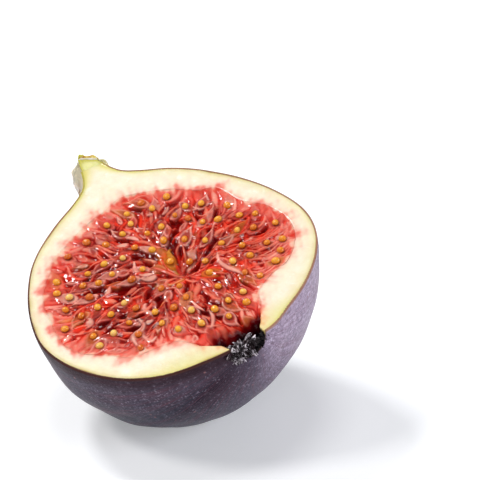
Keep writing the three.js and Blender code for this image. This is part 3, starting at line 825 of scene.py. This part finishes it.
def make_pulp():
    face = Face(FACE_SQUARES)
    a, c = face.along, face.across
    striae = fibres(face.direction, a, c)
    face.height = -1.0 + 0.10 * striae + 0.45 * smoothstep(-from_rind(face.xy), -3.0, 0)
    seeds = []
    # strands that root in the rind, then those that start inside
    directions = np.arange(ROOTED_STRANDS) + rng.uniform(-0.4, 0.4, ROOTED_STRANDS)
    places = [np.array(around(d, pulp_radius(d) * rng.uniform(0.93, 1.02)))
              for d in 2 * math.pi * directions / ROOTED_STRANDS]
    places += scattered(LOOSE_STRANDS, 1.2, 1, 0.1)
    for k, start in enumerate(places):
        is_rooted = k < ROOTED_STRANDS
        length = rng.uniform(4, 10)
        path = path_along(start, length, rng.normal(0, 0.35), 12)
        t = np.linspace(0, 1, 12)
        wide = rng.uniform(0.45, 1) if is_rooted else rng.uniform(0.25, 0.70)
        width = wide * (0.45 + 0.75 * arch(0.12 + 0.8 * t) - 0.3 * t)
        level = rng.uniform(-1.0, -0.80) + 0.15 * arch(t) + 0.12 * is_rooted
        face.lay(path, width, rng.uniform(0.24, 0.40), level, rng.uniform(0, 1) ** 1.3)
    # on the right some sweep along the rind before they turn in
    for _ in range(SWEEPING_STRANDS):
        direction = math.radians(rng.uniform(62, 104))
        start = around(direction, pulp_radius(direction) - rng.uniform(0.2, 2.2))
        path = path_along(start, rng.uniform(9, 15), rng.uniform(0.75, 1.05), 14)
        t = np.linspace(0, 1, 14)
        width = rng.uniform(0.25, 0.5) * (0.5 + 0.6 * arch(t))
        level = rng.uniform(-0.75, -0.55) + 0.2 * arch(t)
        face.lay(path, width, 0.35, level, rng.uniform(0.4, 1))
    # the florets: those with a seed that shows, and others between
    with_seed = scattered(SEEDED_FLORETS, 2.7, 1.7, 0.10)
    others = scattered(PLAIN_FLORETS, 2.1, 1.2, 0.08, with_seed)
    florets = [(p, True) for p in with_seed] + [(p, False) for p in others]
    for index in rng.permutation(len(florets)):
        p, seeded = florets[index]
        length = rng.uniform(3.8, 6) if seeded else rng.uniform(2.6, 4.6)
        heading = float(flow(p)) + rng.normal(0, 0.35)
        t = np.linspace(0, 1, 11)
        path = floret_path(p, heading, length, t)
        wide = rng.uniform(1, 1.5) if seeded else rng.uniform(0.55, 1.1)
        width = wide * (0.12 + 0.88 * smoothstep(t, 0.02, 0.72)) * np.sqrt(np.clip(1.04 - t ** 6, 0.1, 1))
        near_middle = math.exp(-((p[0] + 1.6) / 2.6) ** 2 - ((p[1] - 1) / 2.2) ** 2)
        amber = max(0.95 * near_middle, rng.uniform(0.1, 0.45) if rng.uniform() < 0.2 else 0)
        level = rng.uniform(-0.62, -0.42) if seeded else rng.uniform(-0.85, -0.5)
        height, pale = rng.uniform(0.34, 0.50), rng.uniform(0, 1)
        capsule = rng.uniform(0.75, 1) if seeded or rng.uniform() < 0.7 else 0.0
        face.lay(path, width, height, level + 0.06 * t, pale, amber, capsule, rng.uniform(0, 1))
        if seeded and p[0] < 18:
            seeds.append((p, heading))
    # thin pale strands and curled membranes over them
    for p in scattered(THIN_STRANDS, 1.5, 1.6, 0.12):
        path = path_along(p, rng.uniform(2.5, 7), rng.normal(0, 0.8))
        t = np.linspace(0, 1, 10)
        width = rng.uniform(0.16, 0.42) * (0.4 + 0.8 * arch(t) ** 0.6)
        level = rng.uniform(-0.46, -0.24) + 0.1 * arch(t)
        face.lay(path, width, 0.25, level, rng.uniform(0.1, 1))
    steps = np.linspace(0, 1, 24)
    for (wide, amber), *corners in MEMBRANES:
        path = catmull(np.array(corners)[:, ::-1], steps)
        width = wide * (0.5 + 0.6 * arch(steps))
        level = np.full(24, -0.28) - 0.5 * amber
        face.lay(path, width, 0.3, level, 1, amber, min(1, 1.6 * wide), 1)
    # each seed lies in a dip, with a painted shadow ring round it
    socket = np.zeros(a.shape)
    for p, heading in seeds:
        away = np.linalg.norm(face.xy - p, axis=-1)
        socket = np.maximum(socket, np.exp(-((away - 0.74) / 0.20) ** 2))
        face.height -= 0.24 * np.exp(-(away / 0.8) ** 2)
    for key in ("height", "line", "fill", "run", "amber", "pale", "crest", "kind"):
        setattr(face, key, softened(getattr(face, key), 2 if key in ("height", "amber") else 1))
    face.height += 0.02 * Waves(0.9, 12, 2)(face.xy)
    # how low each place lies, for the painted shade in the face's low places
    deep = smoothstep(-face.height, 0.50, 0.95)
    rind = from_rind(face.xy)
    near_edge = smoothstep(-rind, -1.8, 0)
    face.height = face.height * (1 - near_edge) + near_edge * (-0.12 + 0.3 * (face.height + 0.6)) - sunk(a, c)
    top = np.stack([a, c, -face.height], -1).reshape(-1, 3)
    border = face.rim()
    bowl = bowl_under(top[border])
    count, n = len(border), face.along.shape[0]
    start = len(top)
    ring = np.arange(count)
    first = np.stack([border, np.roll(border, -1), start + np.roll(ring, -1), start + ring], -1)
    faces = [strip(n, n), first, strip(len(bowl), count, start, closed=True)]
    points = place(np.concatenate([top, bowl.reshape(-1, 3)]))
    pad = np.zeros(bowl.shape[:2])
    # where the tongue is painted as shade, in the eye's pit
    dark = smoothstep(a + 0.4 * Waves(3, 8, 2)(face.xy), 18.9, 22.3)
    dark = dark * smoothstep(-np.abs(c - EYE_ACROSS), -6.0, -3.4)
    fields = {key: getattr(face, key) for key in FLORET_FIELDS.split()}
    fields.update(tongue=smoothstep(a, 14, 17.5), rind=rind, dark=dark, fibre=striae, deep=deep, socket=socket,
                  uneven=uneven_edge(a, c))
    attributes = {key: np.concatenate([values.ravel(), pad.ravel()]) for key, values in fields.items()}
    close_holes(build("pulp_florets", points, faces, pulp_material(), "pulp", attributes))
    make_seeds(face, seeds)


# The largest curled membranes and threads: half width and how amber they are, then places as (across, along).
MEMBRANES = [
    [(0.13, 0), (-10.1, 5.4), (-6.9, 4.6), (-3.5, 3.5), (-1.5, 3.4)],
    [(0.22, 0), (-4.0, 6.5), (-4.8, 8.5), (-5.3, 10.1), (-5.8, 12)],
    [(0.30, 0), (-2.8, 3.2), (-2.0, 3.8), (-1.0, 5), (-1.0, 7), (-0.6, 8.5)],
    [(0.14, 0), (-0.6, 8.5), (-1.5, 9.9), (-1.7, 11.7), (-2.3, 13.2), (-3.7, 15.3)],
    [(0.55, 0), (-6.8, 5), (-7.7, 6.2), (-7.2, 8), (-6.4, 8.4)],
    [(0.60, 0), (-9.6, 7.7), (-9.5, 9.3), (-10.5, 10.3), (-11.7, 10.5), (-12.5, 11.4), (-12.7, 13.2)],
    [(0.45, 0), (-10.7, 10.7), (-10.8, 12.2), (-10.3, 13.9), (-9.0, 13.3)],
    [(0.40, 0), (-0.3, 9.5), (-0.2, 11.5), (0.3, 13.1)],
    [(0.45, 0), (1, 13.4), (0.8, 15.2), (0, 16.7), (-0.8, 17.6)],
    [(0.50, 0), (8.9, 1.7), (8.1, 3.9), (8.4, 6.1), (9.5, 8.6), (10.4, 11)],
    [(0.55, 0), (-3.8, -5.4), (-4.5, -3.4), (-3.8, -1.4), (-2.2, -0.9)],
    [(0.26, 0), (10.6, -9.5), (10.7, -8.3), (11.9, -7.9), (13.6, -8.7), (14.1, -9.9), (13.7, -10.9)],
    [(0.34, 0), (10.9, -3.7), (11.7, -4.8), (12.9, -5.0), (14, -4.4)],
    [(0.80, 1), (0.4, -3.9), (0.3, -1.0), (0.1, 1.1), (0.6, 2.6)],
    [(0.60, 0.9), (1.9, -2.6), (1.5, -0.4), (1.2, 1.4)],
    [(0.55, 0.7), (-3.3, 1.7), (-1.7, 2.2), (-0.4, 2.6)],
]


def softened(values, rounds):
    """A field with its steps smoothed."""
    for _ in range(rounds):
        for axis in (0, 1):
            padded = np.concatenate([values.take([0], axis), values, values.take([-1], axis)], axis)
            n = padded.shape[axis]
            values = (padded.take(range(0, n - 2), axis) + 2 * padded.take(range(1, n - 1), axis)
                      + padded.take(range(2, n), axis)) / 4
    return values


def make_seeds(face, seeds):
    """The seeds, each a slightly long ball that lies in its floret."""
    rows, columns = 14, 20
    points, faces, tints, shaded_lows = [], [], [], []
    polar = np.linspace(0, math.pi, rows)[:, None]
    turn = np.linspace(0, 2 * math.pi, columns, endpoint=False)[None, :]
    ball = np.stack([np.sin(polar) * np.cos(turn), np.sin(polar) * np.sin(turn), np.cos(polar) + 0 * turn], -1)
    for p, heading in seeds:
        radius = rng.uniform(0.52, 0.71)
        size = radius * np.array([rng.uniform(1, 1.15), rng.uniform(0.88, 1), rng.uniform(0.85, 0.95)])
        distance = np.linalg.norm(face.xy - p, axis=-1)
        surface = face.height[distance < 0.6].mean() + 0.16
        lift = rng.uniform(-0.10, 0.26)
        shape = ball * size
        turned = heading + rng.normal(0, 0.4)
        x = shape[..., 0] * math.cos(turned) - shape[..., 1] * math.sin(turned)
        y = shape[..., 0] * math.sin(turned) + shape[..., 1] * math.cos(turned)
        made = np.stack([p[0] + x, p[1] + y, -(surface + lift) - shape[..., 2]], -1)
        faces.append(strip(rows, columns, len(points) * rows * columns, closed=True))
        points.append(place(made.reshape(-1, 3)))
        tints.append(np.full(rows * columns, rng.uniform(0, 1)))
        # how low each point of the seed lies, for its painted shade
        shaded_lows.append(np.clip(0.45 - 0.9 * ball[..., 2], 0, 1).ravel())
    build("seeds", np.concatenate(points), faces, seed_material(), None,
          {"tint": np.concatenate(tints), "low": np.concatenate(shaded_lows)})


# The eye's scales.

def scale_foot(heaped):
    """Where a scale grows, as (across, depth) from the eye: most in a heap at the lower left, and some
    round the rest of the mouth."""
    if heaped:
        turn, out = rng.uniform(0, 2 * math.pi), 2.0 * math.sqrt(rng.uniform())
        return -1.5 + 1.4 * out * math.cos(turn), 1.45 + 0.85 * out * math.sin(turn)
    turn, out = math.pi * rng.uniform(0.08, 0.92), rng.uniform(2.6, 3.5)
    return out * math.cos(turn), out * math.sin(turn)


def scale_leaf(u, v):
    """A curled and torn scale's two sides, turned at random: u is 0 at its foot and 1 at its tip."""
    length, width, thick = rng.uniform(0.5, 1.25), rng.uniform(0.45, 1), rng.uniform(0.08, 0.18)
    x = length * u * (1 + 0.35 * np.sin(5 * v + 9 * rng.uniform()) * u)
    y = v * width / 2 * (0.8 + u * (1 - u)) * (1 - 0.5 * u ** 3)
    z = rng.uniform(-0.7, 0.9) * u ** 2 * length * 0.6 - 0.35 * v ** 2 * width
    upper, under = (np.stack([x, y, z - drop], -1) for drop in (0 * u, thick * (1 - 0.5 * u)))
    turned = Matrix.Rotation(rng.normal(0, 1.2), 3, "X") @ Matrix.Rotation(rng.normal(-0.7, 0.8), 3, "Y")
    return np.concatenate([upper.reshape(-1, 3), under.reshape(-1, 3)]) @ np.array(turned).T


def make_eye_scales():
    points, faces, tints = [], [], []
    rows, columns = 7, 7
    u, v = np.meshgrid(np.linspace(0, 1, rows), np.linspace(-1, 1, columns), indexing="ij")
    for k in range(SCALES):
        heaped = k < HEAPED_SCALES
        across, depth = scale_foot(heaped)
        if depth < 0.15:
            continue
        angle, radius = math.atan2(depth, across), math.hypot(across, depth)
        leaf = scale_leaf(u, v)
        foot = 23.6 + 0.10 * radius - 0.06 * across - (0.9 * rng.uniform() ** 2 if heaped else 0.3)
        out = radius + leaf[:, 2]
        leaf = np.stack([foot + leaf[:, 0], EYE_ACROSS + out * math.cos(angle) - leaf[:, 1] * math.sin(angle),
                         out * math.sin(angle) + leaf[:, 1] * math.cos(angle)], -1)
        # none stands out far past the cut face or the fruit's end
        leaf[:, 2] = np.maximum(leaf[:, 2], -0.4)
        leaf[:, 0] = np.minimum(leaf[:, 0], 25.1 - EYE_END_SLANT[0] * (leaf[:, 1] - EYE_ACROSS))
        faces += slab(rows, columns, len(leaf) * len(points))
        points.append(place(leaf))
        tints.append(np.full(len(leaf), rng.uniform(0.3, 1) if heaped else rng.uniform(0, 0.45)))
    edge = np.maximum(u, np.abs(v)).ravel()
    build("eye_scales", np.concatenate(points), faces, crust_material(), None,
          {"edge": np.tile(edge, 2 * len(points)), "tint": np.concatenate(tints)}, smooth=False)


# The stalk.

def make_bract(name, material, sides, top, tip, bulge, clear, thick, narrowing, greens):
    """A papery sheet round the neck, from top to tip. Its sides are shares of the half turn from right to
    left, and greens are how green it is at its top and further down."""
    rows, columns = 26, 26
    t = np.linspace(0, 1, rows)[:, None]
    s = np.linspace(0, 1, columns)[None, :]
    ragged = Waves(1.3, 8, 1)(np.linspace(0, 5, columns)[:, None])[None, :]
    cut_in = narrowing * (sides[1] - sides[0]) * t ** 2
    first, last = sides[0] + cut_in, sides[1] - (cut_in if sides[1] < 1 else 0)
    angle = math.pi * (first + (last - first) * s)
    along = top + (tip - top) * t * (1 + 0.06 * ragged)
    wrinkle = 0.10 * Waves(0.9, 8, 2)(np.stack([angle * 3, along * 0.4], -1))
    out = neck_radius(along) + clear + 0.3 * t + bulge * arch(t)
    inner = BRACT_ROOT + (out - BRACT_ROOT) * smoothstep(t, 0, 0.25) + wrinkle
    layers = [np.stack([along, neck_lean(along) + r * np.cos(angle), r * np.sin(angle)], -1).reshape(-1, 3)
              for r in (inner + thick * (1 - 0.5 * t), inner)]
    green = greens[0] + (greens[1] - greens[0]) * smoothstep(t, 0.1, 0.6) + 0 * s
    edge = np.maximum(np.abs(2 * s - 1) + 0 * t, np.abs(2 * t - 1) + 0 * s) ** 4
    fields = {"turn": angle, "along": along, "green": green, "edge": edge}
    build(name, place(np.concatenate(layers)), slab(rows, columns), material, None,
          {key: np.tile(values.ravel(), 2) for key, values in fields.items()})


BRACT_ROOT = 1.2  # the bracts' radius at their top
STUB_FOOT = -31.9
STUB_TOP = -34.5
STUB_SLANT = 1.15  # how much lower its top lies at the right than in the middle


def stub_edge(t, side):
    """The stub's place along, its middle and its radius, at one side of its face (-1 left, 1 right)."""
    along = STUB_FOOT + (STUB_TOP - STUB_FOOT + STUB_SLANT * side) * t
    return along, neck_lean(along) + 0.3 * t, np.interp(t, [0, 0.5, 0.85, 1.0], [2.0, 1.75, 1.5, 1.45])


def make_stalk():
    rows, columns = 18, 36
    t = np.linspace(0, 1, rows)[:, None]
    angle = np.linspace(0, math.pi, columns)[None, :]
    along, middle, radius = stub_edge(t, np.cos(angle))
    bumps = 0.10 * Waves(1, 8, 2)(np.stack([angle * 2.2 + 0 * t, along], -1)) * smoothstep(t, 0, 0.4)
    radius = radius + bumps * np.sin(angle) ** 0.5
    outside = np.stack([along, middle + radius * np.cos(angle), radius * np.sin(angle)], -1)
    # its cut face, which dips under the flesh's at its foot
    s = np.linspace(-1, 1, columns)[None, :]
    left, right_side = outside[:, -1:], outside[:, :1]
    cut = left + (right_side - left) * (s[..., None] + 1) / 2
    hills = (-0.06 - 0.05 * Waves(1.2, 8, 2)(cut[..., :2])) * (1 - s ** 4)
    cut[..., 2] = hills * smoothstep(t, 0, 0.3) + 0.12 * (1 - smoothstep(t, 0, 0.2))
    cut[:, [0, -1]] = outside[:, [-1, 0]]
    inside = (1 - np.exp(-((1 - np.abs(s)) * radius[:, :1] / 0.55) ** 2)) * smoothstep(-t, -0.95, -0.45)
    points = np.concatenate([outside.reshape(-1, 3), cut.reshape(-1, 3)])
    zero = np.zeros(rows * columns)
    stub = build("stalk_stub", place(points), [strip(rows, columns), strip(rows, columns, rows * columns)],
                 stalk_material(), "stalk",
                 {"turn": np.concatenate([(angle + 0 * t).ravel(), (s + 0 * t).ravel()]),
                  "along": points[:, 0], "inside": np.concatenate([zero, inside.ravel()]),
                  "crown": np.tile(zero, 2), "lip": np.tile(zero, 2)})
    close_holes(stub)
    make_crown()
    papery = bract_material()
    make_bract("bract_left", papery, (0.56, 1), -35.2, -27.7, 1.15, 0.4, 0.35, 0.3, (0.35, 0))
    make_bract("bract_right", papery, (0.06, 0.44), -34.2, -31.2, 0.3, 0.25, 0.4, 0.25, (0.9, 0.5))


def make_crown():
    """What is left of the stalk's end: a dried hump with a pale lip towards the cut face and a green nub."""
    left, right_end = np.array([-35.9, 0.35, 0.35]), np.array([-33.6, 3.1, 0.35])
    way = (right_end - left) / np.linalg.norm(right_end - left)
    on = np.array([-way[1], way[0], 0])  # straight on from the stalk
    down = np.array([0, 0, 1.0])
    rows, columns = 24, 28
    t = np.linspace(0, 1, rows)[:, None]
    turn = np.linspace(0, 2 * math.pi, columns, endpoint=False)[None, :]

    def tube(name, start, end, wide, tall, lump, crown, lip):
        surface = np.stack([3 * t + 0 * turn, np.cos(turn) + 0 * t, np.sin(turn) + 0 * t], -1)
        size = np.sqrt(np.clip(1 - (2 * t - 1) ** 4, 0, 1)) * (1 + lump * Waves(0.9, 10, 3)(surface))
        points = (start + (end - start) * t[..., None] + on * (tall * size * np.cos(turn))[..., None]
                  + down * (wide * size * np.sin(turn))[..., None])
        zero = 0 * t + 0 * turn
        fields = {"turn": turn + zero, "along": points[..., 0], "inside": zero, "crown": crown + zero,
                  "lip": lip + zero}
        attributes = {key: values.ravel() for key, values in fields.items()}
        faces = [strip(rows, columns, closed=True)]
        points = place(points.reshape(-1, 3))
        close_holes(build(name, points, faces, stalk_material(), None, attributes))

    hump, lip, nub = on * 0.62 + down * 0.55, on * 0.05 - down * 0.12, on * 0.95 + down * 0.30
    tube("crown_hump", left + hump, right_end + hump, 1, 0.72, 0.16, 1, 0)
    tube("crown_lip", left + lip, right_end + lip, 0.33, 0.24, 0.22, 0, 1)
    tube("crown_nub", left + nub - way * 0.35, left + nub + way * 0.75, 0.6, 0.65, 0.18, 0.25, 0)


# The stage: floor, camera and lights.

CAMERA = dict(azimuth=-28.24, elevation=28.19, distance=559, lens=245.2, aim=(10.54, -1.75, 30.71))
FLOOR = 2.5  # metres to each side of the middle
# The lights: azimuth from the camera's, elevation, distance and size in metres, power and colour.
LIGHTS = {
    "key": (-80, 48, 1, 0.24, 3.4, (1, 0.98, 0.95)),
    "back": (-128, 52, 1.2, 0.26, 6.8, (1, 1, 1)),
    "top": (-150, 80, 1.5, 0.5, 5, (1, 1, 1)),
    "right": (75, 25, 1, 0.6, 4.6, (0.93, 0.95, 1)),
    "front": (-12, 24, 1.2, 0.5, 1.6, (1, 1, 1)),
}


def direction_of(azimuth, elevation):
    """The way from the object to a viewer at that azimuth and elevation."""
    a, e = math.radians(azimuth), math.radians(elevation)
    return Vector((math.sin(a) * math.cos(e), -math.cos(a) * math.cos(e), math.sin(e)))


def make_camera():
    data = bpy.data.cameras.new("camera")
    data.lens, data.sensor_width = CAMERA["lens"], 36
    camera = bpy.data.objects.new("camera", data)
    bpy.context.scene.collection.objects.link(camera)
    way = direction_of(CAMERA["azimuth"], CAMERA["elevation"])
    camera.location = (Vector(CAMERA["aim"]) + way * CAMERA["distance"]) * MM
    camera.rotation_euler = (-way).to_track_quat("-Z", "Y").to_euler()
    data.clip_start, data.clip_end = 0.05, 10
    bpy.context.scene.camera = camera


def make_light(name, azimuth, elevation, distance, size, power, color):
    data = bpy.data.lights.new(name, "AREA")
    data.shape, data.size, data.energy, data.color = "DISK", size, power, color
    light = bpy.data.objects.new(name, data)
    bpy.context.scene.collection.objects.link(light)
    way = direction_of(CAMERA["azimuth"] + azimuth, elevation)
    light.location = way * distance + Vector((0, 0, 0.02))
    light.rotation_euler = (-way).to_track_quat("-Z", "Y").to_euler()


def make_stage():
    m = Nodes("floor")
    m.set(Base_Color=(0.90, 0.91, 0.93), Roughness=0.22, Specular_IOR_Level=0.4,
          Emission_Color=(0.97, 0.985, 1), Emission_Strength=0.27)
    mesh = bpy.data.meshes.new("floor")
    corners = [(-FLOOR, -FLOOR, 0), (FLOOR, -FLOOR, 0), (FLOOR, FLOOR, 0), (-FLOOR, FLOOR, 0)]
    mesh.from_pydata(corners, [], [(0, 1, 2, 3)])
    mesh.materials.append(m.material)
    floor = bpy.data.objects.new("floor", mesh)
    bpy.context.scene.collection.objects.link(floor)
    world = bpy.data.worlds.new("world")
    bpy.context.scene.world = world
    world.use_nodes = True
    background = world.node_tree.nodes["Background"].inputs
    background["Color"].default_value = (0.96, 0.98, 1, 1)
    background["Strength"].default_value = 0.18
    bpy.context.scene.view_settings.view_transform = "Standard"
    for name, values in LIGHTS.items():
        make_light(name, *values)


make_camera()
make_stage()
make_skin()
make_flesh()
make_pulp()
make_eye_scales()
make_stalk()
